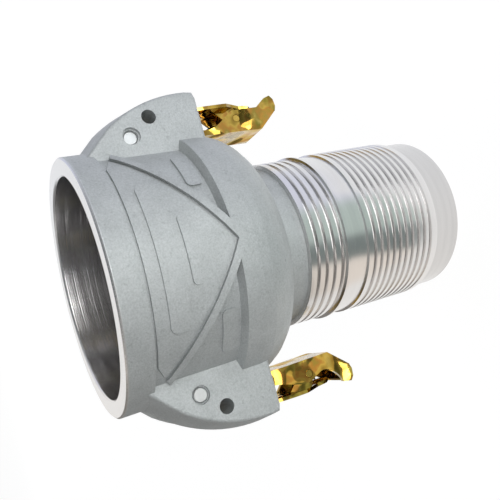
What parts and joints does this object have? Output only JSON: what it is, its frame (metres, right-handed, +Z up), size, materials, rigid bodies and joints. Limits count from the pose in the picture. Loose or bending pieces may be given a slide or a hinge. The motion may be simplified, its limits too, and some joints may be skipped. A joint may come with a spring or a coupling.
{
  "type": "camlock coupling",
  "caption": "Cam-and-groove coupler with two self-locking cam arms, a gasketed socket for a male adapter and a grooved hose shank.",
  "frame": {"origin": "centre of the hose shank's end face, on the surface the part stands on", "axes": "+Z up the coupling's axis to the mouth, +X towards the right-hand arm, +Y across the ears"},
  "size_m": [0.1194, 0.0936, 0.1436],
  "materials": {
    "cast_aluminium": "sand-cast outside, turned mouth, socket and shank",
    "black_rubber": "matte",
    "yellow_zinc_steel": "pressed steel with glossy yellow zinc plating",
    "steel_block": "satin, yellow zinc plated",
    "rivet_steel": "yellow zinc plated",
    "pin_steel": "bright ground",
    "spring_steel": "drawn wire"
  },
  "bodies": {
    "coupler": {"coupler_body": "cast_aluminium", "gasket": "black_rubber", "right_pivot_pin": "pin_steel", "left_pivot_pin": "pin_steel"},
    "right_arm": {"right_cam_arm": "yellow_zinc_steel", "right_cam_block": "steel_block", "right_front_cam_rivet": "rivet_steel", "right_rear_cam_rivet": "rivet_steel", "right_lever_pin": "rivet_steel"},
    "right_lever": {"right_release_lever": "yellow_zinc_steel", "right_lever_spring": "spring_steel"},
    "left_arm": {"left_cam_arm": "yellow_zinc_steel", "left_cam_block": "steel_block", "left_front_cam_rivet": "rivet_steel", "left_rear_cam_rivet": "rivet_steel", "left_lever_pin": "rivet_steel"},
    "left_lever": {"left_release_lever": "yellow_zinc_steel", "left_lever_spring": "spring_steel"}
  },
  "joints": [
    {"name": "right_arm_pivot", "type": "hinge", "parent": "coupler", "child": "right_arm", "pos_m": [0.043, 0, 0.1208], "axis": [0, -1, 0], "range_deg": [0, 100]},
    {"name": "right_lever_press", "type": "hinge", "parent": "right_arm", "child": "right_lever", "pos_m": [0.0506, 0, 0.0731], "axis": [0, 1, 0], "range_deg": [0, 8], "stiffness_Nm_per_rad": 0.6, "springref_deg": -17.19},
    {"name": "left_arm_pivot", "type": "hinge", "parent": "coupler", "child": "left_arm", "pos_m": [-0.043, 0, 0.1208], "axis": [0, 1, 0], "range_deg": [0, 100]},
    {"name": "left_lever_press", "type": "hinge", "parent": "left_arm", "child": "left_lever", "pos_m": [-0.0506, 0, 0.0731], "axis": [0, -1, 0], "range_deg": [0, 8], "stiffness_Nm_per_rad": 0.6, "springref_deg": -17.19}
  ]
}
